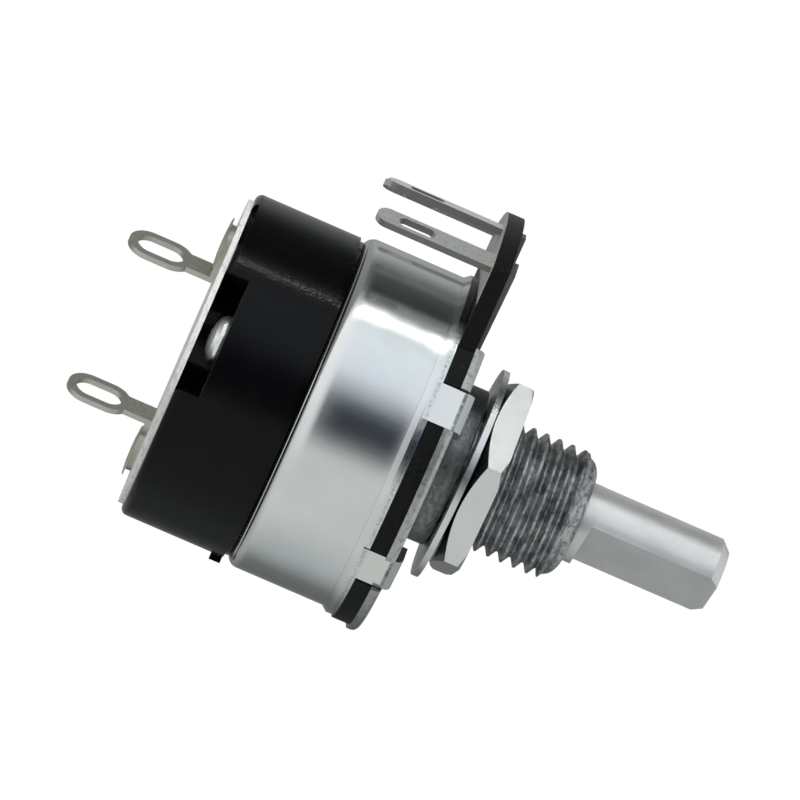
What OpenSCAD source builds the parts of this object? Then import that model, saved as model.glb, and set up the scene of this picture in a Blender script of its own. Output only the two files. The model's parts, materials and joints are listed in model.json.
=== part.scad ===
// Panel potentiometer, 24 mm class, single gang, with a rotary on/off switch on its back.
// Millimetres. +X runs along the shaft to the knob end, +Z is the terminal side, and the
// origin is on the shaft axis in the front face of the boss, which is the panel seat.

/* [View] */
// Which sub-part to show, or all

/* [Shaft] */
// Shaft diameter
shaft_d = 6; // [4:0.05:6.35]
// Shaft end, ahead of the panel seat
shaft_end = 20.2; // [14:0.1:40]
// Where the flat begins, ahead of the panel seat
flat_start = 10; // [9.9:0.05:18]
// Size across the flat
flat_across = 4.5; // [3.5:0.05:5.5]
// Run-out of the milled flat, along the shaft
flat_runout = 0.3; // [0.1:0.05:1]
// Direction of the flat with the knob fully anticlockwise, degrees from +Y towards +Z
flat_dir = 227.3; // [0:0.1:360]
// Chamfer on the knob end
shaft_chamfer = 0.7; // [0.2:0.05:1]
// How much smaller the flatted stretch is ground, on the radius
knob_relief = 0.015; // [0.005:0.005:0.05]
// Running clearance of the shaft in its bearing, on the radius
bearing_gap = 0.03; // [0.01:0.005:0.1]

/* [Bushing] */
// Thread major diameter, as it measures on a cast M10 x 1 thread
thread_d = 9.76; // [9:0.02:10]
// Thread pitch
thread_pitch = 1; // [0.75:0.05:1.25]
// Depth of one thread groove
thread_depth = 0.6; // [0.3:0.05:0.8]
// Bushing front end, ahead of the panel seat
bushing_end = 9.35; // [7:0.05:12]
// Length of the smooth nose ahead of the thread
nose_len = 1.05; // [0.6:0.05:2]
// Nose radius at the thread and at the tip
nose_r = [4.5, 3.5]; // [3:0.05:5]
// Boss behind the panel: diameter
boss_d = 11.9; // [10:0.1:14]
// Boss behind the panel: depth
boss_t = 2; // [1:0.1:4]
// Staked spigot through the mounting plate: diameter
spigot_d = 8.6; // [7.4:0.1:9.6]
// Staked rim behind the mounting plate: diameter and thickness
stake = [9.8, 0.45]; // [0.3:0.05:12]

/* [Mounting plate and wafer] */
// How far the mounting plate's rim stands out past the can's wall
plate_over = 0.825; // [0.6:0.005:1.5]
// Mounting plate thickness
plate_t = 0.73; // [0.5:0.01:1.5]
// Room between the plate's cut edge and the terminals' claws
plate_clear = 0.59; // [0.3:0.01:2.5]
// Width of the cut at its foot
plate_cut_w = 13; // [11.5:0.1:15]
// Where the cut leaves the plate's rim, degrees either side of +Z
plate_cut_dir = 40.6; // [36:0.1:44]
// Rounding of the plate's front rim
plate_edge = 0.45; // [0.1:0.05:0.5]
// How far the wafer's rim stands out past the can's wall
wafer_over = 0.525; // [0.4:0.005:1.5]
// Wafer thickness
wafer_t = 1.25; // [0.8:0.05:2]
// Gap round the staked rim in the wafer's centre hole
wafer_gap = 0.5; // [0.2:0.05:0.8]
// Width of the wafer's tongue outside the end terminals, each side
tongue_side = 1.47; // [0.8:0.01:3]
// How far the tongue's end lies outside the can's wall
tongue_out = 5.525; // [4:0.005:7]

/* [Track and terminals] */
// Width of the resistive track
track_w = 2.4; // [1:0.1:3]
// Thickness of the printed track and of the collector ring
film_t = 0.1; // [0.02:0.01:0.2]
// Angle of the end terminals either side of +Z
terminal_fan = 22.5; // [18:0.5:30]
// Terminal strip thickness
term_t = 0.5; // [0.3:0.05:0.8]
// Terminal strip width
term_w = 1.75; // [1:0.1:3]
// Depth of the terminals' holes inside the tongue's end
term_in = 1.15; // [0.9:0.05:2]
// Length of the terminals behind the mounting plate
term_len = 10.02; // [6:0.01:14]
// Middle of a terminal's slot, from its tip
term_slot_in = 2.97; // [2.5:0.01:4]
// Terminal slot: width and length
term_slot = [1, 2.7]; // [0.6:0.05:4]

/* [Can] */
// Can outside diameter
can_d = 25.35; // [22:0.05:30]
// Can wall thickness
can_t = 0.5; // [0.3:0.05:0.8]
// Depth of the can behind the wafer
can_depth = 8.52; // [7:0.01:12]
// Corner radius at the can's rear
can_corner = 0.9; // [0.6:0.05:2]
// Flare of the can's rim
can_flare = 0.35; // [0.1:0.05:0.4]
// Crimp tab width
tab_w = 2.9; // [2:0.1:4]
// Crimp tab angles either side of +Z
tab_angles = [61.6, 119.6]; // [40:0.1:160]
// How far a tab reaches in over the plate
tab_reach = 1.7; // [1:0.1:3]

/* [Rotor] */
// Gap between the rotor's rim and the can
rotor_gap = 1.975; // [1:0.005:3]
// Rotor disc thickness
rotor_t = 1.8; // [1:0.1:3]
// Room for the wiper's fingers between the track and the rotor
finger_room = 2.02; // [1.6:0.01:2.4]
// Total knob rotation, degrees
travel = 300; // [270:1:310]
// Radius on which the switch dog runs
dog_r = 4.5; // [4:0.1:6]
// Switch dog diameter
dog_d = 1.8; // [1:0.1:3]

/* [Switch] */
// How far the switch housing's side is set back from the can's
housing_in = 0.315; // [0.1:0.005:0.8]
// Depth of the switch housing
housing_depth = 7.97; // [7:0.01:12]
// Switch housing wall thickness
housing_wall = 1.2; // [0.8:0.1:2]
// Edge radius of the housing's rear
housing_edge = 0.5; // [0.2:0.05:1]
// Switch base disc: how far its rim is set back from the housing's side, and its thickness
base_disc = [0.26, 0.3]; // [0.1:0.01:1]
// How far in from the housing's side its two rivets are
rivet_in = 2.06; // [1.9:0.01:2.6]
// Direction of the housing rivets, degrees from +Y towards +Z
rivet_dir = 158.8; // [0:0.1:360]
// Diameter of a housing rivet's head
rivet_head = 3.7; // [3:0.1:4.5]
// Pocket around a housing rivet: radius and depth
pocket = [4.6, 1.8]; // [1:0.05:6]
// Rear insulating disc: how far its rim is set back from the housing's side, and its thickness
rear_disc = [0.66, 0.4]; // [0.3:0.01:1]
// Direction of the line through the two switch lugs, degrees from +Y towards +Z
lug_dir = 109.3; // [0:0.1:360]
// How far in from the housing's side the lug rivets are
lug_rivet_in = 2.96; // [2.5:0.01:4]
// From each lug's rivet in to its blade, upper and lower lug
lug_foot = [2.65, 3.25]; // [2:0.05:4]
// Lug sheet thickness
lug_t = 0.42; // [0.3:0.02:1]
// Lug neck width
lug_neck = 1.9; // [1.2:0.1:3]
// Lug eye: width and length
lug_eye = [3.2, 4.8]; // [2:0.1:7]
// Lug slot: width and length
lug_slot = [2.05, 3.55]; // [1:0.05:6]
// Length of the lugs behind the rear disc
lug_len = 6.68; // [5.6:0.02:12]
// How far in from the housing's inner wall the lever pin is
pin_in = 3.16; // [2.6:0.02:4]
// Direction of the lever pin, degrees from +Y towards +Z
pin_dir = 44; // [20:1:70]
// Lever pin diameter
pin_d = 2; // [1:0.1:3]
// Half of the knob angle over which the dog works the lever, degrees
throw_half = 17; // [12:0.5:20]

/* [Washer and nut] */
// Washer: outside diameter, bore and thickness
washer = [16, 10.3, 0.45]; // [0.3:0.1:20]
// Middle of the washer's rear face, ahead of the panel seat
washer_x = 0.14; // [0.12:0.02:1]
// Lean of the loose washer, its top towards the nut, degrees
washer_lean = 1; // [0:0.1:1.2]
// How far the loose washer hangs below the axis
washer_drop = 0.2; // [0:0.01:0.25]
// Nut size across its flats
nut_af = 13.7; // [12:0.1:17]
// Nut thickness
nut_t = 2; // [1.5:0.1:4]
// Gap between washer and nut
nut_gap = 0.21; // [0.16:0.01:0.3]
// Turn of the nut's corners, degrees
nut_turn = 40.9; // [0:0.1:60]
// Clearance of the nut's bore over the thread, on the radius
nut_clear = 0.05; // [0.02:0.01:0.1]

/* [Hidden] */
$fn = 96;
eps = 0.01;
shaft_r = shaft_d / 2;
flat_h = flat_across - shaft_r;
knob_r = shaft_r - knob_relief;
thread_r = thread_d / 2;
root_r = thread_r - thread_depth;
thread_end = bushing_end - nose_len;
plate_x = -boss_t - plate_t;
wafer_x = plate_x - wafer_t;
track_x = wafer_x - film_t;
can_r = can_d / 2;
can_in = can_r - can_t;
can_back = can_depth - wafer_x;
plate_r = can_r + plate_over;
wafer_r = can_r + wafer_over;
wafer_bore = stake[0] + 2 * wafer_gap;
tongue_r = can_r + tongue_out;
term_r = tongue_r - term_in;
term_tip = term_len - plate_x;
tongue_w = 2 * (term_r * sin(terminal_fan) + term_w / 2 * cos(terminal_fan) + tongue_side);
// lanes of the collector ring and the track between the wafer's hole and the can
lane = can_in - wafer_bore / 2;
collector_r = [wafer_bore / 2 + 0.074 * lane, wafer_bore / 2 + 0.325 * lane];
track_r = wafer_bore / 2 + 0.664 * lane;
claw_w = 1.2;
plate_top = (track_r - term_t / 2) * cos(terminal_fan) - claw_w / 2 * sin(terminal_fan) - plate_clear;
bushing_back = plate_x - stake[1];
clip_t = 0.5;
clip_x = bushing_back - 0.1 - clip_t;
clip_groove_r = shaft_r - 0.65;
tail_r = shaft_r - 0.4;
tail_h = tail_r - 0.5;
rotor_r = can_in - rotor_gap;
rotor_front = finger_room - track_x;
rotor_x = -rotor_front - rotor_t;
tail_x = rotor_x - 0.5;
hub_r = 4.4;
hub_x = clip_x - 0.1;
peg_r = 0.6;
can_floor = -can_back + can_t;
notch_r = can_r - 0.15;
base_x = -can_back - base_disc[1];
housing_back = housing_depth - base_x;
housing_r = can_r - housing_in;
cavity_r = housing_r - housing_wall;
rivet_r = housing_r - rivet_in;
lug_rivet_r = housing_r - lug_rivet_in;
lug_r = [lug_rivet_r - lug_foot[0], lug_rivet_r - lug_foot[1]];
lug_tip = housing_back + rear_disc[1] + lug_len;
pin_r = cavity_r - pin_in;
housing_floor = -housing_back + housing_wall;
disc_x = -housing_back - rear_disc[1];
drive_hole_r = dog_r + dog_d / 2 + 0.5;
// the stop: a tab bent in from the can, and a boss on the rotor's back
stop_r = track_r - 0.6;
stop_w = 3;
stop_dir = 247;
stop_half = asin(stop_w / 2 / stop_r);
stop_gap = 0.5;
stop_clear = 0.6;
// the wiper starts here and the knob's travel takes it round the bottom to the other end
wiper_dir = 90 - (360 - travel) / 2;
dog_dir = pin_dir + throw_half;
dog_tip = base_x - 0.3;
lever_x = dog_tip - 0.15;
lever_dy = pin_r - dog_r * cos(throw_half);
throw = atan(dog_r * sin(throw_half) / lever_dy);
fork_len = sqrt(pow(dog_r * sin(throw_half), 2) + pow(lever_dy, 2));
pin_gap = 0.05;
strip_t = 0.4;
arm_gap = 0.08;
arm_x = housing_floor + strip_t + arm_gap + 0.15;
// the contact arm closes on the fixed contact when the lever has turned twice the throw
contact_r = lug_rivet_r - 4.8;
contact_dir = lug_dir + 180 - pin_dir;
contact_at = [contact_r * cos(contact_dir) - pin_r, contact_r * sin(contact_dir)];
arm_len = norm(contact_at);
arm_dir = atan2(contact_at[1], contact_at[0]) - 2 * throw;
post = [2.4 - pin_r, 0];
// the lever's fork, the spring and the room for them over the contact arm
lever_room = lever_x - arm_x - strip_t;
fork_t = 0.3 * lever_room;
spring_r = 0.178 * lever_room;
spring_wire = 0.055 * lever_room;
spring_x = (lever_x - fork_t + arm_x + strip_t) / 2;
pin_pos = [pin_r * cos(pin_dir), pin_r * sin(pin_dir)];
nut_x = washer_x + washer[2] + nut_gap;
rivet_shank = 1;
lug_shank = 0.8;
lug_head = 1.8;

// Stand a drawing up: its own z runs along the shaft, its x becomes +Y and its y +Z.
module ax(x) {
  translate([x, 0, 0]) rotate([90, 0, 90]) children();
}

module disc(x0, x1, r) {
  ax(x0) cylinder(h = x1 - x0, r = r);
}

// A turned piece from points of [position along the shaft, radius].
module turned(points) {
  rotate([0, 90, 0]) rotate([0, 0, 90]) rotate_extrude() polygon([for (p = points) [p[1], p[0]]]);
}

// A flat wedge from the axis, for cutting arcs.
module wedge(a0, a1, r) {
  n = ceil((a1 - a0) / 30);
  polygon(concat([[0, 0]], [for (i = [0 : n]) let(a = a0 + (a1 - a0) * i / n) [r * cos(a), r * sin(a)]]));
}

module arc(r0, r1, a0, a1) {
  intersection() {
    difference() {
      circle(r = r1);
      circle(r = r0);
    }
    wedge(a0, a1, r1 * 1.5);
  }
}

module slot2d(w, l) {
  square([w, l - w], center = true);
  for (s = [-1, 1]) translate([0, s * (l - w) / 2]) circle(d = w, $fn = 32);
}

// Shaft: round bearing stretch, clip groove, knob end with one flat, tail with a key flat.
module shaft() {
  color([0.62, 0.63, 0.64]) {
    difference() {
      turned([
        [tail_x, 0], [tail_x, tail_r + 0.25], [rotor_x - 0.15, tail_r + 0.25], [rotor_x, tail_r],
        [clip_x, tail_r], [clip_x, clip_groove_r], [clip_x + clip_t, clip_groove_r],
        [clip_x + clip_t, shaft_r], [bushing_end - 0.85, shaft_r], [bushing_end - 0.7, shaft_r - 0.2],
        [bushing_end - 0.3, shaft_r - 0.2], [bushing_end - 0.15, shaft_r], [flat_start, shaft_r],
        [flat_start, 0]
      ]);
      ax(tail_x - 1) rotate(pin_dir) translate([tail_h, -5]) cube([5, 10, clip_x - tail_x + 1]);
    }
    difference() {
      turned([
        [flat_start, 0], [flat_start, shaft_r], [flat_start + flat_runout, shaft_r],
        [flat_start + flat_runout, knob_r], [shaft_end - shaft_chamfer, knob_r],
        [shaft_end, knob_r - shaft_chamfer], [shaft_end, 0]
      ]);
      rotate([flat_dir, 0, 0]) translate([0, 0, -5]) linear_extrude(height = 10)
        polygon([
          [flat_start + flat_runout, flat_h], [shaft_end + 1, flat_h], [shaft_end + 1, 5],
          [flat_start - 0.2, 5], [flat_start, shaft_r]
        ]);
    }
  }
}

// Cast bushing: thread rings at the pitch, plain nose, boss, and a spigot staked over the plate.
module bushing() {
  n = floor((thread_end - 0.6) / thread_pitch);
  x0 = thread_end - n * thread_pitch;
  c = thread_pitch / 8;
  color([0.40, 0.41, 0.42]) difference() {
    turned(concat(
      [
        [bushing_back, 0], [bushing_back, stake[0] / 2 - 0.2], [bushing_back + 0.2, stake[0] / 2],
        [plate_x, stake[0] / 2], [plate_x, spigot_d / 2], [-boss_t, spigot_d / 2],
        [-boss_t, boss_d / 2 - 0.15], [-boss_t + 0.15, boss_d / 2], [-0.15, boss_d / 2],
        [0, boss_d / 2 - 0.15], [0, thread_r]
      ],
      [for (i = [0 : n - 1], q = [0 : 2]) [
        x0 + i * thread_pitch + [c / 2, thread_pitch / 2, thread_pitch - c / 2][q],
        q == 1 ? root_r : thread_r
      ]],
      [[thread_end, thread_r - c], [thread_end + 0.25, nose_r[0]],
       [bushing_end - 0.5, (nose_r[0] + nose_r[1]) / 2 + 0.25], [bushing_end, nose_r[1]], [bushing_end, 0]]
    ));
    disc(bushing_back - 1, bushing_end + 1, shaft_r + bearing_gap);
  }
}

module tab_notches(r_in) {
  for (s = [-1, 1], a = tab_angles) rotate(90 + s * a)
    translate([r_in, -tab_w / 2 - 0.1]) square([6, tab_w + 0.2]);
}

module mounting_plate() {
  corner = plate_r * [sin(plate_cut_dir), cos(plate_cut_dir)];
  out = corner + 3 * (corner - [plate_cut_w / 2, plate_top]);
  color([0.66, 0.67, 0.67]) intersection() {
    spin() mirror([0, 1]) translate([0, -plate_x - plate_t]) rounded(plate_r, plate_t, plate_edge);
    ax(plate_x) linear_extrude(height = plate_t) difference() {
      circle(r = plate_r + 1, $fn = 180);
      circle(d = spigot_d);
      tab_notches(notch_r);
      polygon([
        [-plate_cut_w / 2, plate_top], [plate_cut_w / 2, plate_top], out, [-out[0], out[1]]
      ]);
    }
  }
}

module retaining_ring() {
  color([0.45, 0.46, 0.48]) ax(clip_x) linear_extrude(height = clip_t) difference() {
    circle(r = 4.4);
    circle(r = clip_groove_r);
    rotate(pin_dir) translate([0, -1.7]) square([6, 3.4]);
    for (s = [-1, 1]) rotate(pin_dir + 180 + s * 50) translate([3.7, 0]) circle(r = 0.5, $fn = 24);
  }
}

// Phenolic wafer with its tongue, cut for the crimp tabs, the terminals and their claws.
module wafer() {
  color([0.12, 0.12, 0.12]) ax(wafer_x) linear_extrude(height = wafer_t) difference() {
    union() {
      circle(r = wafer_r, $fn = 180);
      intersection() {
        circle(r = tongue_r, $fn = 180);
        translate([-tongue_w / 2, 0]) square([tongue_w, tongue_r]);
      }
    }
    circle(d = wafer_bore);
    tab_notches(notch_r);
    for (a = [-terminal_fan, 0, terminal_fan]) rotate(a) {
      translate([-term_w / 2, term_r - term_t / 2]) square([term_w, term_t]);
      translate([-claw_w / 2, track_r - term_t / 2]) square([claw_w, term_t]);
    }
  }
}

module resistive_track() {
  color([0.05, 0.05, 0.055]) ax(track_x) linear_extrude(height = film_t) difference() {
    arc(track_r - track_w / 2, track_r + track_w / 2, 90 + terminal_fan - 3, 450 - terminal_fan + 3);
    for (s = [-1, 1]) rotate(s * terminal_fan) translate([-0.65, track_r - term_t]) square([1.3, 2 * term_t]);
  }
}

module collector_ring() {
  color([0.72, 0.70, 0.60]) ax(track_x) linear_extrude(height = film_t) {
    difference() {
      circle(r = collector_r[1]);
      circle(r = collector_r[0]);
    }
    difference() {
      translate([-0.8, collector_r[1] - 0.3]) square([1.6, track_r + 1.2 - collector_r[1] + 0.3]);
      translate([-0.65, track_r - term_t]) square([1.3, 2 * term_t]);
    }
  }
}

// One terminal: leg on the wafer's front, claw clinched on the track, blade bent to the rear.
module terminal(turn) {
  front = plate_x;
  color([0.68, 0.68, 0.66]) rotate([turn, 0, 0]) {
    ax(front) linear_extrude(height = term_t) union() {
      translate([-term_w / 2, track_r + 0.6]) square([term_w, term_r - term_t / 2 - track_r - 0.6 + term_t]);
      translate([-claw_w / 2, track_r - term_t / 2]) square([claw_w, 1]);
    }
    translate([track_x - 0.3, -claw_w / 2, track_r - term_t / 2]) {
      cube([wafer_t + film_t + 0.3 + eps, claw_w, term_t]);
      cube([0.3, claw_w, 1.3]);
    }
    translate([0, 0, term_r - term_t / 2]) linear_extrude(height = term_t) difference() {
      union() {
        translate([-term_tip + term_w / 2, -term_w / 2]) square([term_tip - term_w / 2 + front + eps, term_w]);
        translate([-term_tip + term_w / 2, 0]) circle(d = term_w, $fn = 40);
      }
      translate([-term_tip + term_slot_in, 0]) rotate(90) slot2d(term_slot[0], term_slot[1]);
    }
  }
}

module terminal_near() { terminal(terminal_fan); }
module terminal_centre() { terminal(0); }
module terminal_far() { terminal(-terminal_fan); }

// Moulded rotor: keyed on the shaft's tail, with the stop boss and the switch dog on its back.
module rotor() {
  boss_len = 0.51 * (rotor_x - can_floor);
  ring_r = dog_r + dog_d / 2 + 0.3;
  color([0.30, 0.20, 0.13]) {
    difference() {
      union() {
        disc(rotor_x, -rotor_front, rotor_r);
        disc(-rotor_front - eps, hub_x, hub_r);
        ax(rotor_x - boss_len) linear_extrude(height = boss_len + eps)
          arc(stop_r - 1.3, rotor_r, stop_dir - stop_half - stop_gap - (360 - travel)
            + 2 * (stop_half + stop_gap), stop_dir - stop_half - stop_gap);
      }
      ax(rotor_x - 4) linear_extrude(height = 10) difference() {
        circle(r = tail_r);
        rotate(pin_dir) translate([tail_h, -5]) square([5, 10]);
      }
      ax(rotor_x - eps) linear_extrude(height = 0.8) difference() {
        circle(r = ring_r + 0.29 * (rotor_r - ring_r));
        circle(r = ring_r);
        for (a = [0 : 60 : 300]) rotate(a) translate([0, -0.5]) square([20, 1]);
      }
    }
    ax(dog_tip) rotate(dog_dir) translate([dog_r, 0]) cylinder(h = rotor_x - dog_tip + eps, d = dog_d, $fn = 40);
    for (a = [140, 260]) ax(-rotor_front - eps) rotate(wiper_dir + a)
      translate([rotor_r - 2, 0]) cylinder(h = 0.45, r = peg_r, $fn = 24);
  }
}

// Wiper: spring sheet ring pegged to the rotor, two fingers on the track, one on the collector.
module wiper() {
  color([0.80, 0.68, 0.42]) {
    ax(-rotor_front) linear_extrude(height = 0.2) difference() {
      union() {
        difference() {
          circle(r = rotor_r - 1.2);
          circle(r = hub_r + 0.6);
        }
        rotate(wiper_dir) translate([rotor_r - 2.2, -5.2]) square([track_r + 0.55 - rotor_r + 2.2, 1.8]);
      }
      for (a = [140, 260]) rotate(wiper_dir + a) translate([rotor_r - 2, 0]) circle(r = peg_r + 0.03, $fn = 24);
      rotate(wiper_dir + 200) translate([hub_r + 1.1, -2.5]) square([1.6, 5]);
    }
    for (f = [[track_r + 0.2, 0.65], [track_r - 0.6, 0.65], [(collector_r[0] + collector_r[1]) / 2, 0.9]])
      rotate([wiper_dir, 0, 0]) translate([0, f[0] + f[1] / 2, 0]) rotate([90, 0, 0])
        linear_extrude(height = f[1]) finger_side();
  }
}

// Side view of a finger: x along the shaft, y along the finger, its tip at y = 0.
module finger_side() {
  b = -rotor_front;
  p = track_x - 0.04;
  polygon([
    [b, -4.6], [b, -3.6], [p - 0.45, -0.5], [p - 0.22, 0], [p - 0.5, 0.7], [p - 0.32, 0.8],
    [p, 0.12], [p, -0.12], [p - 0.25, -0.6], [b + 0.2, -3.7], [b + 0.2, -4.6]
  ]);
}

// A disc section with one rounded corner, from the axis outwards.
module rounded(r, h, c) {
  square([r - c, h]);
  translate([0, c]) square([r, h - c]);
  translate([r - c, c]) circle(r = c, $fn = 48);
}

module spin() {
  rotate([0, 90, 0]) rotate([0, 0, 90]) rotate_extrude() children();
}

module at_rivets() {
  for (a = [0, 180]) rotate(rivet_dir + a) translate([rivet_r, 0]) children();
}

// Drawn can: drive hole, stop tab bent in, flared rim, four tabs folded over the plate.
module can() {
  color([0.78, 0.80, 0.81]) {
    difference() {
      union() {
        spin() translate([0, -can_back]) rounded(can_r, can_back + wafer_x, can_corner);
        turned([
          [wafer_x - 1, can_in], [wafer_x - 1, can_r - 0.02], [wafer_x - 0.55, can_r + can_flare],
          [wafer_x, can_r + can_flare], [wafer_x, can_in]
        ]);
      }
      spin() translate([0, can_floor]) rounded(can_in, can_back, can_corner - can_t);
      turned([[wafer_x - 0.8, 0], [wafer_x - 0.8, can_in - 0.02], [wafer_x + eps, can_in + can_flare], [wafer_x + eps, 0]]);
      ax(-can_back - 1) linear_extrude(height = can_t + 1.5) {
        circle(r = drive_hole_r);
        at_rivets() circle(r = rivet_shank, $fn = 32);
        rotate(stop_dir) translate([drive_hole_r - 0.5, -stop_w / 2])
          square([stop_r - drive_hole_r + 0.5, stop_w]);
      }
    }
    rotate([stop_dir, 0, 0]) translate([-can_back + 0.1, stop_r, -stop_w / 2])
      cube([rotor_x - stop_clear + can_back - 0.1, can_t, stop_w]);
    for (s = [-1, 1], a = tab_angles) rotate([90 + s * a, 0, 0])
      translate([0, 0, -tab_w / 2]) linear_extrude(height = tab_w) tab_side();
  }
}

// Side view of a crimp tab: x along the shaft, y outwards.
module tab_side() {
  lift = can_r - 0.15;
  translate([wafer_x - 0.45, lift]) square([-boss_t - wafer_x + 0.45, can_t]);
  translate([-boss_t, lift + can_t - tab_reach]) square([can_t, tab_reach - can_t]);
  translate([-boss_t, lift]) intersection() {
    circle(r = can_t, $fn = 32);
    square(can_t);
  }
}

module switch_base() {
  color([0.07, 0.07, 0.075]) ax(base_x) linear_extrude(height = base_disc[1]) difference() {
    circle(r = housing_r - base_disc[0], $fn = 180);
    circle(r = drive_hole_r);
    at_rivets() circle(r = rivet_shank, $fn = 32);
  }
}

// Moulded switch housing, open to the front: rivet columns, pockets and a moulding nub.
module switch_housing() {
  depth = housing_back + base_x;
  color([0.065, 0.065, 0.07]) difference() {
    union() {
      difference() {
        union() {
          spin() translate([0, -housing_back]) rounded(housing_r, depth, housing_edge);
          rotate([258, 0, 0]) translate([base_x - 0.86, housing_r - 0.5, -0.42]) cube([0.84, 1, 0.84]);
        }
        disc(housing_floor, base_x + 1, cavity_r);
      }
      intersection() {
        ax(housing_floor - eps) linear_extrude(height = depth - housing_wall + eps) at_rivets() circle(r = 2.5);
        disc(housing_floor - eps, base_x, housing_r - 0.3);
      }
      intersection() {
        ax(housing_floor - eps) linear_extrude(height = pocket[1] - housing_wall + 0.9)
          at_rivets() circle(r = pocket[0] + 0.7);
        disc(housing_floor - eps, base_x, housing_r - 0.3);
      }
      ax(housing_floor - eps) rotate(pin_dir) translate(post) cylinder(h = lever_x - fork_t - 0.5 - housing_floor, r = 0.9, $fn = 40);
    }
    ax(-housing_back - 1) linear_extrude(height = pocket[1] + 1) at_rivets() circle(r = pocket[0]);
    ax(-housing_back - 1) linear_extrude(height = depth + 2) {
      at_rivets() circle(r = rivet_shank, $fn = 32);
      for (a = [0, 180]) rotate(lug_dir + a) translate([lug_rivet_r, 0]) circle(r = lug_shank, $fn = 32);
    }
    ax(housing_floor - 0.7) rotate(pin_dir) translate([pin_r, 0]) cylinder(h = 2, d = pin_d, $fn = 40);
    ax(-housing_back - 1) linear_extrude(height = 1.4) arc(housing_r - rear_disc[0], housing_r + 1, lug_dir - 10, lug_dir + 16);
  }
}

// Rivet through the housing, the base disc and the can: domed head, shank, clinched end.
module housing_rivet(turn) {
  floor_x = -housing_back + pocket[1];
  r = rivet_head / 2;
  color([0.72, 0.73, 0.74]) rotate([rivet_dir + turn, 0, 0]) translate([0, rivet_r, 0]) turned([
    [floor_x - 1.1, 0], [floor_x - 1.06, r * 0.3], [floor_x - 0.94, r * 0.58], [floor_x - 0.72, r * 0.83],
    [floor_x - 0.42, r * 0.97], [floor_x - 0.2, r], [floor_x, r * 0.97], [floor_x, rivet_shank],
    [can_floor, rivet_shank], [can_floor, 1.4], [can_floor + 0.4, 1.3], [can_floor + 0.6, 0.8], [can_floor + 0.6, 0]
  ]);
}

module housing_rivet_near() { housing_rivet(0); }
module housing_rivet_far() { housing_rivet(180); }

module rear_plate() {
  color([0.83, 0.83, 0.81]) ax(disc_x) linear_extrude(height = rear_disc[1]) difference() {
    circle(r = housing_r - rear_disc[0], $fn = 180);
    for (a = [0, 180]) rotate(lug_dir + a) translate([lug_rivet_r, 0]) circle(r = lug_shank, $fn = 32);
  }
}

// Switch lug: foot under its rivet, blade bent to the rear with a slotted eye.
module switch_lug(turn, blade_r) {
  foot_w = 2.9;
  eye_x = -lug_tip + lug_eye[1] / 2;
  color([0.62, 0.62, 0.58]) rotate([lug_dir + turn, 0, 0]) {
    ax(disc_x - lug_t) linear_extrude(height = lug_t) difference() {
      union() {
        translate([blade_r - lug_t / 2, -lug_neck / 2]) square([lug_rivet_r - blade_r, lug_neck]);
        translate([blade_r + 0.9, -foot_w / 2]) square([lug_rivet_r - blade_r - 0.9, foot_w]);
        translate([lug_rivet_r, 0]) circle(d = foot_w);
      }
      translate([lug_rivet_r, 0]) circle(r = lug_shank, $fn = 32);
    }
    translate([0, blade_r + lug_t / 2, 0]) rotate([90, 0, 0]) linear_extrude(height = lug_t) difference() {
      union() {
        translate([eye_x + lug_eye[1] / 2 - 0.6, -lug_neck / 2])
          square([disc_x - eye_x - lug_eye[1] / 2 + 0.6, lug_neck]);
        translate([eye_x, 0]) rotate(90) slot2d(lug_eye[0], lug_eye[1]);
      }
      translate([eye_x, 0]) rotate(90) slot2d(lug_slot[0], lug_slot[1]);
    }
  }
}

module switch_lug_upper() { switch_lug(0, lug_r[0]); }
module switch_lug_lower() { switch_lug(180, lug_r[1]); }

module lug_rivet(turn) {
  out = disc_x - lug_t;
  inn = housing_floor + strip_t;
  color([0.68, 0.66, 0.46]) rotate([lug_dir + turn, 0, 0]) translate([0, lug_rivet_r, 0]) turned([
    [out - 0.22, 0], [out - 0.2, 0.9], [out - 0.12, lug_head], [out, lug_head + 0.15], [out, lug_shank],
    [inn, lug_shank], [inn, 1.3], [inn + 0.3, 1.2], [inn + 0.4, 0.8], [inn + 0.4, 0]
  ]);
}

module lug_rivet_upper() { lug_rivet(0); }
module lug_rivet_lower() { lug_rivet(180); }

module lever_pin() {
  color([0.70, 0.71, 0.72]) ax(housing_floor - 0.7) rotate(pin_dir) translate([pin_r, 0])
    cylinder(h = lever_x + 0.1 - housing_floor + 0.7, d = pin_d, $fn = 40);
}

// In the lever's own drawing the pin is at 0,0 and +x points away from the shaft axis.
module at_pin() {
  rotate(pin_dir) translate([pin_r, 0]) children();
}

// Switch lever at its off position: hub on the pin, fork for the dog, seat for the spring.
module switch_lever() {
  reach = fork_len + dog_d / 2 + 0.3;
  color([0.36, 0.24, 0.15]) difference() {
    union() {
      ax(arm_x + strip_t) at_pin() cylinder(h = lever_x - arm_x - strip_t, r = 2.1, $fn = 60);
      ax(lever_x - fork_t) at_pin() rotate(180 - throw) linear_extrude(height = fork_t) difference() {
        polygon([[0, -2.1], [reach - 0.6, -1.95], [reach, -1.5], [reach, 1.5], [reach - 0.6, 1.95], [0, 2.1]]);
        translate([pin_r - dog_r - dog_d / 2 - 0.1, -dog_d / 2 - 0.15]) square([9, dog_d + 0.3]);
      }
      ax(spring_x - 1.15 * spring_r) at_pin() rotate(180 - throw) translate([1.4, -0.9])
        cube([2, 1.8, 2.3 * spring_r]);
    }
    ax(arm_x) at_pin() cylinder(h = 12, r = pin_d / 2 + pin_gap, $fn = 40);
  }
}

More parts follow.
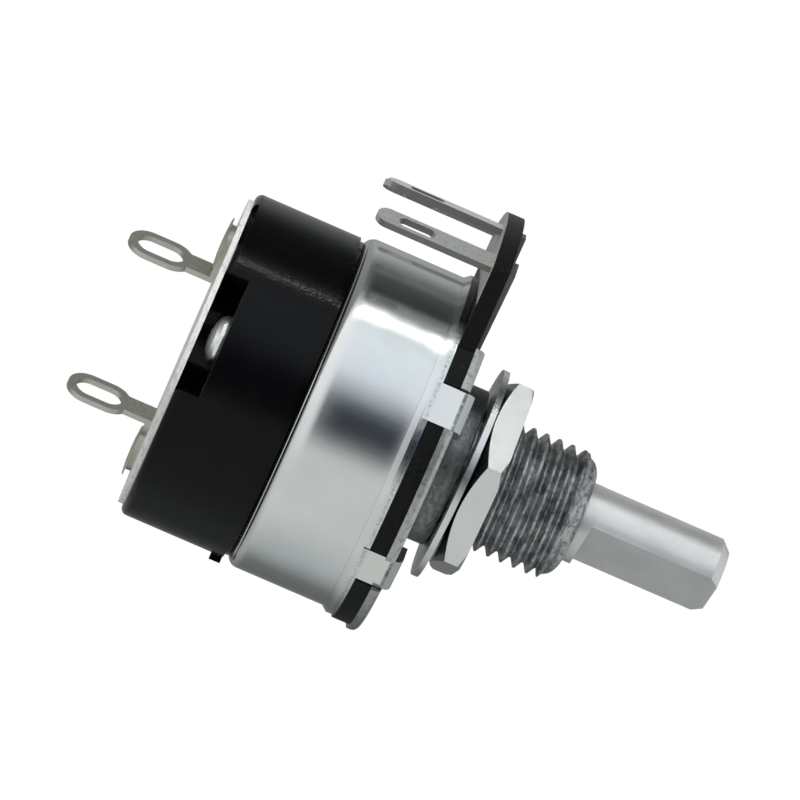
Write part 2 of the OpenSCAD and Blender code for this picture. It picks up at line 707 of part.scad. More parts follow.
module contact_arm() {
  color([0.80, 0.68, 0.42]) {
    ax(arm_x) at_pin() rotate(arm_dir) linear_extrude(height = strip_t) difference() {
      union() {
        circle(r = 2.1, $fn = 60);
        polygon([[0, -1.3], [arm_len, -0.7], [arm_len, 0.7], [0, 1.3]]);
        translate([arm_len, 0]) circle(r = 1.1, $fn = 40);
      }
      circle(r = pin_d / 2 + pin_gap, $fn = 40);
    }
    ax(arm_x - 0.15) at_pin() rotate(arm_dir) translate([arm_len, 0]) cylinder(h = 0.2, r = 0.6, $fn = 32);
  }
}

// Strip on the housing's floor from the upper lug's rivet to the lever pin.
module contact_feed() {
  a = [lug_rivet_r * cos(lug_dir), lug_rivet_r * sin(lug_dir)];
  d = pin_pos - a;
  color([0.78, 0.64, 0.36]) ax(housing_floor) linear_extrude(height = strip_t) difference() {
    union() {
      translate(a) circle(r = 1.6, $fn = 48);
      translate(pin_pos) circle(r = 1.8, $fn = 48);
      translate(a) rotate(atan2(d[1], d[0])) translate([0, -1]) square([norm(d), 2]);
    }
    translate(a) circle(r = lug_shank, $fn = 32);
    translate(pin_pos) circle(d = pin_d, $fn = 40);
  }
}

// Fixed contact on the housing's floor, held by the lower lug's rivet.
module contact_fixed() {
  color([0.78, 0.64, 0.36]) ax(housing_floor) rotate(lug_dir + 180) linear_extrude(height = strip_t) difference() {
    union() {
      translate([lug_rivet_r, 0]) circle(r = 1.6, $fn = 48);
      translate([contact_r, -1.1]) square([lug_rivet_r - contact_r, 2.2]);
      translate([contact_r, 0]) circle(r = 1.4, $fn = 48);
    }
    translate([lug_rivet_r, 0]) circle(r = lug_shank, $fn = 32);
  }
}

// Toggle spring between the housing's post and the lever, a coil of square wire.
module toggle_spring() {
  seat = [pin_r - 3.4 * cos(throw), 3.4 * sin(throw)];
  d = seat - post;
  wire = spring_wire;
  lip = 0.03;
  r = spring_r - wire / 2 - lip;
  tilt = throw + atan2(d[1], d[0]);
  l = norm(d) - 0.95 - spring_r * sin(tilt);
  turns = 6;
  span = 360 * wire / (l / turns);
  color([0.66, 0.67, 0.68]) ax(spring_x) rotate(pin_dir) translate(post) rotate(atan2(d[1], d[0]))
    translate([0.9, 0, 0]) rotate([0, 90, 0]) {
      translate([0, 0, wire / 3])
        linear_extrude(height = l - wire * 2 / 3, twist = -360 * turns, slices = 10 * turns, $fn = 6) polygon(concat(
          [for (i = [0 : 2]) [(r + wire / 2) * cos(span * i / 2), (r + wire / 2) * sin(span * i / 2)]],
          [for (i = [2 : -1 : 0]) [(r - wire / 2) * cos(span * i / 2), (r - wire / 2) * sin(span * i / 2)]]
        ));
      for (z = [0, l - wire]) translate([0, 0, z]) linear_extrude(height = wire) difference() {
        circle(r = r + wire / 2 + lip, $fn = 24);
        circle(r = r - wire / 2 - lip, $fn = 24);
      }
    }
}

module washer() {
  color([0.80, 0.82, 0.82]) translate([washer_x, 0, -washer_drop]) rotate([0, washer_lean, 0]) ax(0) difference() {
    cylinder(h = washer[2], d = washer[0], $fn = 120);
    translate([0, 0, -1]) cylinder(h = washer[2] + 2, d = washer[1]);
  }
}

// Hexagon nut, chamfered on both sides and more on the washer side.
module nut() {
  corner = nut_af / 2 / cos(30);
  rise = corner - nut_af / 2;
  bore = thread_r + nut_clear;
  lead = 0.45;
  color([0.80, 0.80, 0.80]) difference() {
    intersection() {
      ax(nut_x) rotate(nut_turn) cylinder(h = nut_t, r = corner, $fn = 6);
      turned([
        [nut_x, 0], [nut_x, nut_af / 2 - 0.1], [nut_x + 0.6 * (rise + 0.1), corner],
        [nut_x + nut_t - 0.3 * rise, corner], [nut_x + nut_t, nut_af / 2 + 0.45 * rise], [nut_x + nut_t, 0]
      ]);
    }
    disc(nut_x - 1, nut_x + nut_t + 1, bore);
    turned([[nut_x - eps, 0], [nut_x - eps, bore + lead], [nut_x + lead, bore - eps], [nut_x + lead, 0]]);
    turned([
      [nut_x + nut_t + eps, 0], [nut_x + nut_t + eps, bore + lead], [nut_x + nut_t - lead, bore - eps],
      [nut_x + nut_t - lead, 0]
    ]);
  }
}

shaft();
bushing();
mounting_plate();
retaining_ring();
wafer();
resistive_track();
collector_ring();
terminal_near();
terminal_centre();
terminal_far();
rotor();
wiper();
can();
switch_base();
switch_housing();
housing_rivet_near();
housing_rivet_far();
rear_plate();
switch_lug_upper();
switch_lug_lower();
lug_rivet_upper();
lug_rivet_lower();
lever_pin();
switch_lever();
contact_arm();
contact_feed();
contact_fixed();
toggle_spring();
washer();
nut();
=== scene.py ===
"""Panel potentiometer with a rotary switch: the dressed model, its light and the photo's camera."""
import bpy
import bmesh
import json
import math
from mathutils import Vector, Matrix, noise


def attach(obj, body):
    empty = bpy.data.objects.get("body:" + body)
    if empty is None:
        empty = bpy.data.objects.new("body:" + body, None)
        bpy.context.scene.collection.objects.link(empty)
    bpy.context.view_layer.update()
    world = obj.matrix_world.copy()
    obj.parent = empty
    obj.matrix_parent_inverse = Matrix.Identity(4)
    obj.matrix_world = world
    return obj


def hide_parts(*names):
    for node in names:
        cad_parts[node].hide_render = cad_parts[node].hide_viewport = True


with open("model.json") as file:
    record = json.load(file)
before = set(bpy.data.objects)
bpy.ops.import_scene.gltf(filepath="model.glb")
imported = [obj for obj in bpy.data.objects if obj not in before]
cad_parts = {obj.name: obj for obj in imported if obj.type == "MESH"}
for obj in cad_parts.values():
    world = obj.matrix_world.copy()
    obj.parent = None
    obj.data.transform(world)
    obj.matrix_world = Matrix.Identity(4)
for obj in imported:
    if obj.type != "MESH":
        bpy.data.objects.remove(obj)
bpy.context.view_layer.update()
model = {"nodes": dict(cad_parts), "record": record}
nodes = model["nodes"]
scene = bpy.context.scene
MM = 0.001

# ---------------------------------------------------------------- camera
AZIMUTH, ELEVATION, ROLL = math.radians(2.9), math.radians(11.7), math.radians(24.05)
DISTANCE = 0.390  # m, from the camera to AIM
FIELD = 0.0568  # m, the width of the view at AIM
AIM = Vector((-5.68 * MM, 0.0, 2.94 * MM))
SENSOR = 36.0
NEAR_CLIP, FAR_CLIP = 0.01, 20.0


def make_camera():
    """The photo's camera: at the part's near side, a little to its rear and above, and rolled."""
    flat = math.cos(ELEVATION)
    back = Vector((-math.sin(AZIMUTH) * flat, -math.cos(AZIMUTH) * flat, math.sin(ELEVATION)))
    level = Vector((math.cos(AZIMUTH), -math.sin(AZIMUTH), 0.0))
    right = level * math.cos(ROLL) + back.cross(level) * math.sin(ROLL)
    up = back.cross(right)
    place = AIM + back * DISTANCE
    pose = Matrix.Identity(4)
    for i in range(3):
        pose[i][0], pose[i][1], pose[i][2], pose[i][3] = right[i], up[i], back[i], place[i]
    cam = bpy.data.cameras.new("photo_camera")
    obj = bpy.data.objects.new("photo_camera", cam)
    scene.collection.objects.link(obj)
    obj.matrix_world = pose
    cam.sensor_width = SENSOR
    cam.lens = SENSOR * DISTANCE / FIELD
    cam.clip_start, cam.clip_end = NEAR_CLIP, FAR_CLIP
    scene.camera = obj


make_camera()
scene.view_settings.view_transform = "Standard"

# ---------------------------------------------------------------- shader nodes


def node(tree, kind, **values):
    """A new node; each value goes to the input of that name, or else to the node's property."""
    n = tree.nodes.new(kind)
    for k, v in values.items():
        if k in n.inputs:
            n.inputs[k].default_value = v
        else:
            setattr(n, k, v)
    return n


def plug(tree, value, socket):
    """Links another node's output to the socket, or sets a number, vector or rgb colour on it."""
    if isinstance(value, bpy.types.NodeSocket):
        tree.links.new(value, socket)
    elif socket.type == "RGBA":
        socket.default_value = (*value, 1)
    else:
        socket.default_value = value


def maths(tree, operation, *values):
    n = node(tree, "ShaderNodeMath", operation=operation)
    for value, socket in zip(values, n.inputs):
        plug(tree, value, socket)
    return n.outputs[0]


def fit(tree, value, low, high, to_low=0.0, to_high=1.0, kind="LINEAR"):
    """Maps low..high to to_low..to_high, and no further."""
    n = node(tree, "ShaderNodeMapRange", interpolation_type=kind)
    names = ("Value", "From Min", "From Max", "To Min", "To Max")
    for name, v in zip(names, (value, low, high, to_low, to_high)):
        plug(tree, v, n.inputs[name])
    return n.outputs[0]


def blend(tree, factor, a, b):
    n = node(tree, "ShaderNodeMix", data_type="RGBA")
    for name, v in (("Factor", factor), ("A", a), ("B", b)):
        plug(tree, v, n.inputs[name])
    return n.outputs["Result"]


def split(tree, vector):
    n = node(tree, "ShaderNodeSeparateXYZ")
    tree.links.new(vector, n.inputs[0])
    return n.outputs


def by_angle(tree, turn, stops):
    """A colour ramp over the full turn, from (degrees, colour) stops between -180 and 180."""
    n = node(tree, "ShaderNodeValToRGB")
    els = n.color_ramp.elements
    els.remove(els[-1])
    for i, (degrees, colour) in enumerate(stops):
        place = (degrees + 180) / 360
        e = els[0] if i == 0 else els.new(place)
        e.position = place
        e.color = (*colour, 1.0)
    tree.links.new(turn, n.inputs[0])
    return n.outputs[0]


def by_ray(tree, kind, rest, special):
    """One shader for rays of a kind that Light Path names, and the other for all the rest."""
    path = node(tree, "ShaderNodeLightPath")
    pick = node(tree, "ShaderNodeMixShader")
    sources = (path.outputs[kind], rest.outputs[0], special.outputs[0])
    for source, socket in zip(sources, pick.inputs):
        tree.links.new(source, socket)
    return pick


# ---------------------------------------------------------------- the studio

# What the metal reflects, by angle round the shaft: 0 is the camera's side, 90 is above.
ROOM = [
    (-180, (0.32, 0.33, 0.32)), (-140, (0.12, 0.13, 0.13)), (-118, (0.15, 0.16, 0.16)),
    (-95, (0.41, 0.44, 0.44)), (-60, (0.59, 0.62, 0.61)), (-15, (0.60, 0.63, 0.61)),
    (-8, (0.42, 0.45, 0.44)), (-1, (0.14, 0.15, 0.16)), (6, (0.04, 0.045, 0.055)),
    (16, (0.025, 0.03, 0.04)), (24, (0.12, 0.14, 0.16)), (32, (0.43, 0.47, 0.51)),
    (43, (0.76, 0.82, 0.88)), (68, (0.82, 0.89, 0.94)), (79, (0.64, 0.70, 0.72)),
    (87.5, (0.80, 0.84, 0.82)), (95, (0.13, 0.14, 0.13)), (102, (0.02, 0.025, 0.02)),
    (130, (0.08, 0.09, 0.085)), (142, (0.26, 0.28, 0.27)), (152, (0.42, 0.44, 0.43)),
    (180, (0.32, 0.33, 0.32)),
]
# The same behind the part, and one colour in front of the shaft's end.
REAR = [
    (-180, (0.25, 0.26, 0.25)), (-110, (0.42, 0.43, 0.42)), (-75, (0.58, 0.60, 0.60)),
    (-25, (0.66, 0.68, 0.67)), (5, (0.80, 0.81, 0.82)), (40, (0.90, 0.91, 0.92)),
    (90, (0.95, 0.95, 0.95)), (98, (0.50, 0.51, 0.50)), (106, (0.20, 0.21, 0.20)),
    (135, (0.22, 0.23, 0.22)), (180, (0.25, 0.26, 0.25)),
]
FRONT = (0.74, 0.75, 0.75)
# How far along the shaft a direction points where the rear and the front set in and are full.
REAR_FROM, REAR_FULL = 0.12, 0.5
FRONT_FROM, FRONT_FULL = 0.45, 0.9
# The bright strip over the can: its level, angle and half width, and where it fades to nothing
# and is full, as a share of the direction along the shaft.
STRIP = 25.0
STRIP_ANGLE, STRIP_HALF = math.radians(85.4), math.radians(0.5)
STRIP_NONE, STRIP_FULL = 0.050, 0.012


def room_colour(tree, direction):
    """The room's colour in a direction: bands and a bright strip round the shaft, and its ends."""
    x, y, z = split(tree, direction)
    angle = maths(tree, "ARCTAN2", z, maths(tree, "MULTIPLY", y, -1.0))
    turn = fit(tree, angle, -math.pi, math.pi)
    strip = maths(tree, "COMPARE", angle, STRIP_ANGLE, STRIP_HALF)
    reach = fit(tree, x, STRIP_NONE, STRIP_FULL, kind="SMOOTHSTEP")
    strip = maths(tree, "MULTIPLY", strip, reach)
    colour = blend(tree, strip, by_angle(tree, turn, ROOM), (STRIP, STRIP, STRIP))
    ends = ((1.0, FRONT_FROM, FRONT_FULL, FRONT),
            (-1.0, REAR_FROM, REAR_FULL, by_angle(tree, turn, REAR)))
    for sign, start, full, end in ends:
        along = maths(tree, "MULTIPLY", x, sign)
        colour = blend(tree, fit(tree, along, start, full, kind="SMOOTHSTEP"), colour, end)
    return colour


def make_world():
    """White to the camera, and the room to everything else."""
    world = bpy.data.worlds.new("studio")
    scene.world = world
    world.use_nodes = True
    tree = world.node_tree
    tree.nodes.clear()
    out = node(tree, "ShaderNodeOutputWorld")
    direction = node(tree, "ShaderNodeTexCoord").outputs["Generated"]
    room = node(tree, "ShaderNodeBackground", Strength=1.0)
    tree.links.new(room_colour(tree, direction), room.inputs["Color"])
    white = node(tree, "ShaderNodeBackground", Strength=1.0, Color=(1, 1, 1, 1))
    tree.links.new(by_ray(tree, "Is Camera Ray", room, white).outputs[0], out.inputs[0])


make_world()

FLOOR_HALF, FLOOR_Z = 6.0, -0.16
FLOOR_COLOUR = (0.82, 0.82, 0.82, 1)
# To the camera the floor is a white glow and a weak diffuse share that keeps the shadow.
FLOOR_GLOW, FLOOR_SHADED = 0.93, (0.14, 0.14, 0.14, 1)


def make_floor():
    """A pale floor that keeps the shadow, white to the camera and like the room to the metal."""
    s, z = FLOOR_HALF, FLOOR_Z
    mesh = bpy.data.meshes.new("floor")
    mesh.from_pydata([(-s, -s, z), (s, -s, z), (s, s, z), (-s, s, z)], [], [(0, 1, 2, 3)])
    obj = bpy.data.objects.new("floor", mesh)
    scene.collection.objects.link(obj)
    m = bpy.data.materials.new("floor_white")
    m.use_nodes = True
    tree = m.node_tree
    tree.nodes.clear()
    out = node(tree, "ShaderNodeOutputMaterial")
    unit = node(tree, "ShaderNodeVectorMath", operation="NORMALIZE")
    tree.links.new(node(tree, "ShaderNodeTexCoord").outputs["Object"], unit.inputs[0])
    mirror = node(tree, "ShaderNodeEmission", Strength=1.0)
    tree.links.new(room_colour(tree, unit.outputs[0]), mirror.inputs[0])
    plain = node(tree, "ShaderNodeBsdfDiffuse", Color=FLOOR_COLOUR)
    shaded = node(tree, "ShaderNodeBsdfDiffuse", Color=FLOOR_SHADED)
    white = node(tree, "ShaderNodeEmission", Strength=FLOOR_GLOW, Color=(1, 1, 1, 1))
    seen = node(tree, "ShaderNodeAddShader")
    tree.links.new(shaded.outputs[0], seen.inputs[0])
    tree.links.new(white.outputs[0], seen.inputs[1])
    unseen = by_ray(tree, "Is Glossy Ray", plain, mirror)
    tree.links.new(by_ray(tree, "Is Camera Ray", unseen, seen).outputs[0], out.inputs[0])
    mesh.materials.append(m)


make_floor()

ORIGIN = Vector((0.0, 0.0, 0.0))


def lamp(name, place, size, power):
    """A rectangular lamp that looks at the origin and doesn't show in the metal."""
    data = bpy.data.lights.new(name, "AREA")
    data.shape = "RECTANGLE"
    data.size, data.size_y = size
    data.energy = power
    obj = bpy.data.objects.new(name, data)
    scene.collection.objects.link(obj)
    obj.location = place
    obj.rotation_mode = "QUATERNION"
    obj.rotation_quaternion = (ORIGIN - Vector(place)).to_track_quat("-Z", "Y")
    obj.visible_glossy = False


lamp("overhead", (0.0, -0.05, 0.45), (0.5, 0.2), 1.3)
lamp("front_fill", (-0.1, -0.5, 0.25), (0.5, 0.4), 1.0)

# ---------------------------------------------------------------- materials

# The middle part of a noise's values, which drives the roughness from its low to its high end.
NOISE_LOW, NOISE_HIGH = 0.3, 0.7


class Maker:
    """One procedural material: a Principled shader, its colour, roughness and bump."""

    def __init__(self, name, metallic, roughness, base, **sockets):
        self.mat = bpy.data.materials.new(name)
        self.mat.use_nodes = True
        self.tree = self.mat.node_tree
        self.bsdf = self.tree.nodes["Principled BSDF"]
        self.bsdf.inputs["Metallic"].default_value = metallic
        self.bsdf.inputs["Roughness"].default_value = roughness
        self.bsdf.inputs["Base Color"].default_value = (*base, 1)
        for k, v in sockets.items():
            self.bsdf.inputs[k.replace("_", " ")].default_value = v
        self.coord = node(self.tree, "ShaderNodeTexCoord")
        self.base = base
        self.normal = None

    def facing(self, axis):
        """How far the surface looks along the part's own X, Y or Z, from -1 to 1."""
        return split(self.tree, self.coord.outputs["Normal"])[axis]

    def past(self, start, end, axis="X", to_high=1.0):
        """0 up to start (mm along the shaft, or axis), and to_high from end on."""
        along = split(self.tree, self.coord.outputs["Object"])[axis]
        return fit(self.tree, along, start * MM, end * MM, to_high=to_high)

    def times(self, first, *others):
        for other in others:
            first = maths(self.tree, "MULTIPLY", first, other)
        return first

    def noise(self, size, detail=3.0, rough=0.55, scale=(1, 1, 1)):
        """Noise whose features are about size mm across, and finer along an axis where scale is
        over 1."""
        k = 1.0 / (size * MM)
        mapping = node(self.tree, "ShaderNodeMapping", Scale=[k * s for s in scale])
        self.tree.links.new(self.coord.outputs["Object"], mapping.inputs["Vector"])
        n = node(self.tree, "ShaderNodeTexNoise", Scale=1.0, Detail=detail, Roughness=rough)
        self.tree.links.new(mapping.outputs[0], n.inputs["Vector"])
        return n.outputs["Fac"]

    def colour(self, *layers):
        """Lays (factor, none, full, colour) layers over the base colour, the last on top. A
        factor's value of none leaves what is below, and full covers it."""
        last = self.base
        for factor, none, full, layer in layers:
            last = blend(self.tree, fit(self.tree, factor, none, full), last, layer)
        self.tree.links.new(last, self.bsdf.inputs["Base Color"])

    def rough(self, factor, low, high):
        value = fit(self.tree, factor, NOISE_LOW, NOISE_HIGH, low, high)
        self.tree.links.new(value, self.bsdf.inputs["Roughness"])

    def bump(self, height, depth):
        """Adds a bump; a height of 1 stands depth mm proud."""
        b = node(self.tree, "ShaderNodeBump", Strength=1.0, Distance=depth * MM)
        self.tree.links.new(height, b.inputs["Height"])
        if self.normal is not None:
            self.tree.links.new(self.normal, b.inputs["Normal"])
        self.normal = b.outputs[0]
        self.tree.links.new(self.normal, self.bsdf.inputs["Normal"])

    def bowed(self, start, end, curve, slope=0.0):
        """Shades a turned wall as if its radius changed by curve * d * d + slope * d, in metres,
        at d metres past start (mm along the shaft), as far as end."""
        d = self.past(start, end, to_high=abs(end - start) * MM)
        curved = self.times(d, d, curve)
        self.bump(maths(self.tree, "ADD", curved, self.times(d, slope)), 1 / MM)


def shade(colour, share):
    return tuple(c * share for c in colour)


def tinned_can():
    m = Maker("tinned_can", 1.0, 0.2, (0.86, 0.87, 0.87))
    # The drawn wall rounds in towards its rear end and flares towards its lip, which turns back.
    # This is bump over the CAD's straighter wall.
    m.bowed(-8.8, -12.2, -30)
    m.bowed(-10.9, -12.2, -110)
    m.bowed(-6.2, -4.98, 58)
    m.bowed(-4.98, -4.53, 0, -0.7)
    fold = m.times(m.past(-2.4, -2.25), m.past(-1.95, -2.1))
    rim = m.times(m.past(-4.55, -4.3), m.past(-3.95, -4.1))
    lip = m.times(m.past(-4.75, -4.5), m.past(-2.3, -2.4))
    m.colour(
        (m.noise(3.5, 5), 0.35, 0.8, (0.78, 0.80, 0.80)),
        # the tabs past the lip, and specks on the rim that was cut
        (m.past(-4.0, -3.9), 0.0, 1.0, (0.89, 0.88, 0.85)),
        (m.times(rim, m.noise(0.25, 4, 0.7)), 0.42, 0.75, (0.30, 0.31, 0.31)),
        # the tabs' ends over the plate darkened as painted shade
        (m.past(-2.2, -2.1), 0.0, 1.0, (0.50, 0.52, 0.51)),
        # painted shadow on the lip's top
        (m.times(lip, m.facing("Z")), 0.80, 0.86, (0.07, 0.075, 0.075)),
        # painted shade in streaks where the tabs fold
        (m.times(fold, m.noise(0.35, 4, 0.65, (0.2, 1, 1))), 0.25, 0.6, (0.16, 0.17, 0.17)),
    )
    m.rough(m.noise(3.0), 0.16, 0.19)
    m.bump(m.noise(0.9, scale=(0.15, 1, 1)), 0.004)
    m.bump(m.noise(0.12, 2), 0.0012)
    return m.mat


def bakelite():
    m = Maker("black_bakelite", 0.0, 0.18, (0.002, 0.002, 0.0024), IOR=1.5,
              Specular_IOR_Level=0.15, Sheen_Weight=0.05, Sheen_Roughness=0.35)
    m.colour((m.noise(1.8, 4), 0.45, 0.75, (0.003, 0.003, 0.0034)))
    m.rough(m.noise(0.7, 4), 0.10, 0.15)
    m.bump(m.noise(0.17, 0.0), 0.006)
    return m.mat


def wafer_board():
    """Dark board; the rear of the tongue that carries the terminals is pale, and dark below it as a
    painted shadow.
    """
    m = Maker("wafer_phenolic", 0.0, 0.34, (0.004, 0.0045, 0.004), IOR=1.5,
              Specular_IOR_Level=0.14)
    grit = m.noise(0.22, 5, 0.7, (1.5, 1, 1))
    tongue = m.past(12.8, 13.2, "Z")
    m.colour((grit, 0.55, 0.85, (0.035, 0.035, 0.033)),
             # pale rear only above z 13 mm; below it the dark is a painted shadow of the can's lip
             (m.times(m.facing("X"), tongue), -0.25, -0.95, (0.42, 0.42, 0.40)))
    m.rough(grit, 0.24, 0.5)
    m.bump(grit, 0.05)
    return m.mat


def sheared_steel(name, base, low, high):
    m = Maker(name, 1.0, 0.42, base)
    grain = m.noise(0.25, 5, 0.7, (2.2, 1, 1))
    m.colour((m.noise(0.35, 4, 0.65), 0.50, 0.70, shade(base, 0.5)))
    m.rough(grain, low, high)
    m.bump(grain, 0.02)
    return m.mat


def cast_zinc():
    """Mottled zinc, darker on the boss, which ends at x = 0, and darkest on its top as a painted
    shadow.
    """
    m = Maker("zinc_bushing", 1.0, 0.40, (0.48, 0.49, 0.50))
    boss = m.past(0.0, -0.1)
    m.colour(
        (m.noise(1.5, 5, 0.6), 0.40, 0.68, (0.60, 0.605, 0.61)),
        (m.noise(0.7, 4, scale=(1.5, 0.5, 0.5)), 0.48, 0.62, (0.20, 0.21, 0.215)),
        (m.noise(0.35, 4), 0.50, 0.70, (0.15, 0.16, 0.165)),
        (boss, 0.0, 1.5, (0.21, 0.225, 0.23)),
        # painted shadow on the boss's top
        (m.times(boss, m.facing("Z")), 0.75, 1.0, (0.06, 0.065, 0.065)),
    )
    m.rough(m.noise(0.3, 4), 0.28, 0.55)
    m.bump(m.noise(0.18, 4), 0.016)
    m.bump(m.noise(0.4, scale=(1.6, 0.6, 0.6)), 0.06)
    return m.mat


def turned_steel():
    m = Maker("shaft_steel", 0.78, 0.36, (0.74, 0.735, 0.73))
    m.colour((m.noise(2.2, 4), 0.42, 0.75, (0.64, 0.64, 0.635)))
    m.rough(m.noise(1.3, 4), 0.34, 0.44)
    m.bump(m.noise(0.5, scale=(6, 0.6, 0.6)), 0.003)
    return m.mat


def plated(name, base, low=0.2, high=0.32, grain=0.004):
    m = Maker(name, 1.0, 0.26, base)
    m.colour((m.noise(1.4, 5), 0.45, 0.8, shade(base, 0.88)))
    m.rough(m.noise(0.8, 4), low, high)
    m.bump(m.noise(0.15), grain)
    return m.mat


def nut_plating():
    """Bright plating; the rear chamfers and the face that looks down are darkened as painted shade.
    """
    m = Maker("plated_nut", 1.0, 0.1, (0.82, 0.82, 0.815))
    m.colour((m.noise(1.4, 5), 0.45, 0.8, (0.76, 0.765, 0.76)),
             # painted shade on the faces that look down and to the rear
             (m.facing("Z"), -0.75, -0.9, (0.40, 0.41, 0.40)),
             (m.facing("X"), -0.2, -0.4, (0.17, 0.18, 0.18)))
    m.rough(m.noise(0.8, 4), 0.07, 0.12)
    m.bump(m.noise(0.15), 0.001)
    return m.mat


def tinned_strip(name, base, edge):
    """Tinned strip: lighter on top as a painted highlight, with a given colour on the sheared edges
    that look to -y (on the terminals a dark painted shadow), and darkened as painted shade where it
    lies on the wafer's front."""
    m = Maker(name, 0.85, 0.5, base)
    spot = m.noise(0.16, 4, 0.7)
    m.colour((spot, 0.50, 0.64, shade(base, 0.66)),
             (m.noise(0.9, 4), 0.5, 0.8, shade(base, 0.86)),
             # painted highlight on the faces that look up
             (m.facing("Z"), 0.96, 0.99, shade(base, 1.25)),
             # the -y edge colour; on the terminals it is a dark painted shadow
             (m.facing("Y"), -0.6, -0.8, edge),
             # painted shade where the strip lies on the wafer's front
             (m.past(-2.9, -2.7), 0.0, 1.0, shade(base, 0.3)))
    m.rough(spot, 0.42, 0.6)
    m.bump(spot, 0.012)
    return m.mat


def moulded_brown():
    m = Maker("rotor_phenolic", 0.0, 0.42, (0.10, 0.05, 0.028), IOR=1.55)
    fleck = m.noise(0.3, 5, 0.7)
    m.colour((fleck, 0.5, 0.8, (0.17, 0.095, 0.055)))
    m.rough(fleck, 0.34, 0.52)
    m.bump(fleck, 0.01)
    return m.mat


def fibre():
    m = Maker("pale_fibre", 0.0, 0.66, (0.72, 0.72, 0.70))
    lay = m.noise(0.12, 5, 0.7)
    m.colour((lay, 0.45, 0.75, (0.58, 0.58, 0.55)),
             (m.noise(0.5, scale=(8, 1, 1)), 0.5, 0.7, (0.36, 0.36, 0.34)))
    m.bump(lay, 0.012)
    return m.mat


def brassy(name, base, dark):
    m = Maker(name, 1.0, 0.34, base)
    m.colour((m.noise(0.5, 5), 0.42, 0.75, dark))
    m.rough(m.noise(0.4, 4), 0.26, 0.44)
    m.bump(m.noise(0.14), 0.006)
    return m.mat


def carbon():
    m = Maker("carbon_ink", 0.0, 0.55, (0.018, 0.018, 0.02))
    fleck = m.noise(0.2, 5)
    m.colour((fleck, 0.5, 0.8, (0.035, 0.035, 0.038)))
    m.rough(fleck, 0.42, 0.62)
    m.bump(fleck, 0.004)
    return m.mat


MATS = {
    "steel_shaft": turned_steel(),
    "zinc_bushing": cast_zinc(),
    "plated_steel": sheared_steel("plated_steel", (0.54, 0.55, 0.54), 0.28, 0.5),
    "spring_steel": plated("spring_steel", (0.42, 0.43, 0.45)),
    "wafer_phenolic": wafer_board(),
    "carbon_ink": carbon(),
    "silvered_brass": plated("silvered_brass", (0.74, 0.72, 0.62)),
    # the terminals' dark -y edge colour is a painted shadow
    "tinned_terminal": tinned_strip("tinned_terminal", (0.74, 0.74, 0.71), (0.24, 0.24, 0.23)),
    "rotor_phenolic": moulded_brown(),
    "spring_bronze": brassy("spring_bronze", (0.80, 0.60, 0.34), (0.66, 0.46, 0.24)),
    "tinned_can": tinned_can(),
    "black_bakelite": bakelite(),
    "rivet_steel": plated("rivet_steel", (0.97, 0.98, 0.97), 0.24, 0.36, 0.02),
    "pale_fibre": fibre(),
    "tinned_lug": tinned_strip("tinned_lug", (0.44, 0.44, 0.39), (0.62, 0.62, 0.58)),
    "rivet_brass": brassy("rivet_brass", (0.80, 0.79, 0.58), (0.58, 0.57, 0.38)),
    "contact_brass": brassy("contact_brass", (0.74, 0.57, 0.28), (0.58, 0.42, 0.20)),
    "plated_washer": plated("plated_washer", (0.86, 0.86, 0.84), 0.24, 0.36, 0.012),
    "plated_nut": nut_plating(),
}
SLOT = {s["node"]: s["material_slot"] for s in model["record"]["subparts"]}

for name, obj in nodes.items():
    obj.data.materials.clear()
    obj.data.materials.append(MATS[SLOT[name]])

# ---------------------------------------------------------------- meshes in Blender

SAME_POINT = 1e-7  # m
SAME_RADIUS = 1e-6  # mm


def finish_mesh(bm, name, slot_name, body, replaced, smooth):
    """An object from a bmesh, with sharp edges where faces meet at over smooth degrees."""
    mesh = bpy.data.meshes.new(name)
    bmesh.ops.remove_doubles(bm, verts=bm.verts, dist=SAME_POINT)
    bmesh.ops.recalc_face_normals(bm, faces=bm.faces)
    for f in bm.faces:
        f.smooth = True
    for e in bm.edges:
        if len(e.link_faces) == 2 and e.calc_face_angle(0.0) > math.radians(smooth):
            e.smooth = False
    bm.to_mesh(mesh)
    bm.free()
    obj = bpy.data.objects.new(name, mesh)
    scene.collection.objects.link(obj)
    mesh.materials.append(MATS[slot_name])
    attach(obj, body)
    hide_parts(*replaced)


def revolve(profile, n, radius):
    """A closed profile of (x, r) points in mm turned round the shaft's axis in n steps.
    radius(x, r, angle) may change each r."""
    bm = bmesh.new()
    rings = []
    for x, r in profile:
        ring = []
        for i in range(n):
            a = 2 * math.pi * i / n
            rr = radius(x, r, a)
            ring.append(bm.verts.new((x * MM, rr * math.cos(a) * MM, rr * math.sin(a) * MM)))
        rings.append(ring)
    for p, q in zip(rings, rings[1:] + rings[:1]):
        for i in range(n):
            j = (i + 1) % n
            bm.faces.new((p[i], q[i], q[j], p[j]))
    return bm


# The bushing's thread, in mm; it runs from the boss's front face at x = 0 to the nose.
PITCH, CREST, ROOT, THREAD_END = 1.0, 4.88, 4.28, 8.35
CREST_FLAT = 0.14
CREST_X, CREST_ANGLE = 3.98, math.radians(78.3)  # where the photo shows a crest at the top
RUN_OUT, RUN_IN, RUN_IN_START = 0.35, 0.3, 0.05
THREAD_STEP, THREAD_START = 0.05, 0.02
# Wear: its depth in mm, the noise's scale along the shaft (1/mm), and its circle's radius in noise.
THREAD_WEAR, NOSE_WEAR = (0.015, 2.1, 7), (0.02, 1.5, 4)
STEPS_ROUND = 144


def clamp(value):
    return max(0.0, min(1.0, value))


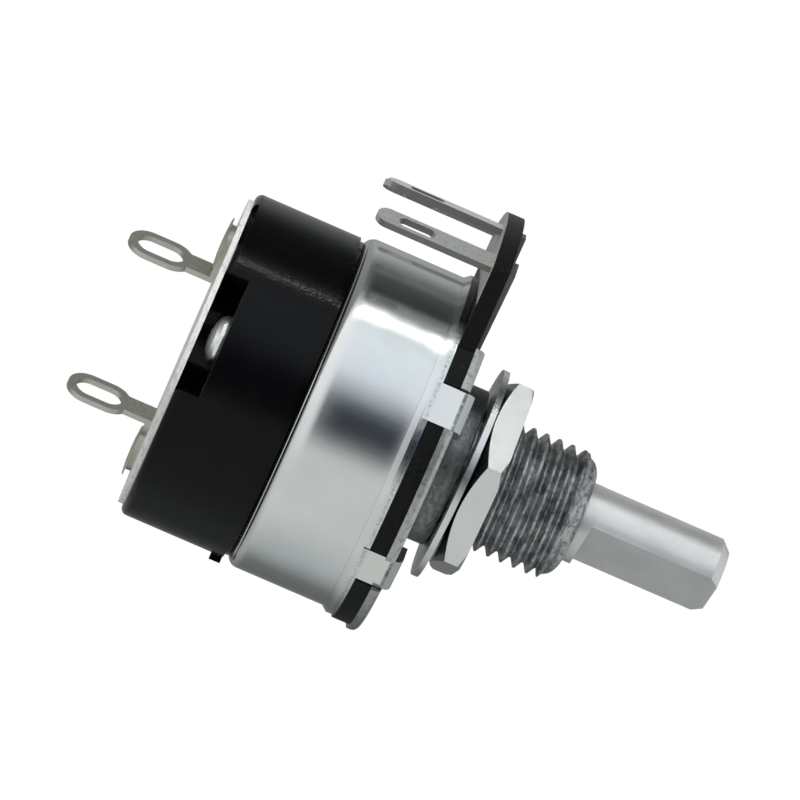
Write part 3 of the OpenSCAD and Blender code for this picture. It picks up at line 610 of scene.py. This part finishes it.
def helix(x, angle):
    """The thread's radius: a right-hand helix that fades out at both ends."""
    s = (x - CREST_X - (angle - CREST_ANGLE) / (2 * math.pi) * PITCH) / PITCH
    s = abs(s - round(s)) * PITCH
    cut = clamp((s - CREST_FLAT / 2) / (PITCH / 2 - CREST_FLAT))
    fade = clamp((THREAD_END - x) / RUN_OUT) * clamp((x - RUN_IN_START) / RUN_IN)
    return CREST - (CREST - ROOT) * cut * fade


def wear(x, angle, depth, along, around):
    place = Vector((x * along, math.cos(angle) * around, math.sin(angle) * around))
    return depth * noise.noise(place)


def bushing_radius(x, r, angle):
    """The thread's crest line becomes the worn helix, and the nose is worn too."""
    if 0.0 < x < THREAD_END and abs(r - CREST) < SAME_RADIUS:
        return helix(x, angle) + wear(x, angle, *THREAD_WEAR)
    if x >= THREAD_END:
        return r + wear(x, angle, *NOSE_WEAR)
    return r


def threaded_bushing():
    """The bushing with its real right-hand helix in place of the CAD's rings."""
    seat = [(-3.18, 3.03), (-3.18, 4.7), (-2.98, 4.9), (-2.73, 4.9), (-2.73, 4.3), (-2.0, 4.3)]
    boss = [(-2.0, 5.80), (-1.97, 5.88), (-1.88, 5.95), (-0.12, 5.95), (-0.03, 5.88),
            (0.0, 5.80), (0.0, CREST - 0.01)]
    thread = [(THREAD_START + i * THREAD_STEP, CREST)
              for i in range(int(THREAD_END / THREAD_STEP))]
    nose = [(THREAD_END, 4.72), (8.42, 4.60), (8.50, 4.50), (8.70, 4.40), (8.90, 4.28),
            (9.05, 4.12), (9.18, 3.92), (9.28, 3.70), (9.34, 3.50), (9.35, 3.36),
            (9.30, 3.12), (9.15, 3.03)]
    bm = revolve(seat + boss + thread + nose, STEPS_ROUND, bushing_radius)
    finish_mesh(bm, "bushing_cast", "zinc_bushing", "base", ["bushing"], 50)


threaded_bushing()

BEVEL_ANGLE = math.radians(35)
# The rounding of sharp edges, in mm, and its segments.
EDGES = {
    "shaft": (0.06, 2), "mounting_plate": (0.05, 2), "wafer": (0.06, 2), "washer": (0.07, 2),
    "nut": (0.12, 3), "switch_base": (0.08, 2), "rear_plate": (0.05, 2),
    "terminal_near": (0.07, 2), "terminal_centre": (0.07, 2), "terminal_far": (0.07, 2),
    "switch_lug_upper": (0.08, 2), "switch_lug_lower": (0.08, 2),
}
for name, (width, segments) in EDGES.items():
    b = nodes[name].modifiers.new("edge", "BEVEL")
    b.width = width * MM
    b.segments = segments
    b.limit_method = "ANGLE"
    b.angle_limit = BEVEL_ANGLE
    b.harden_normals = False
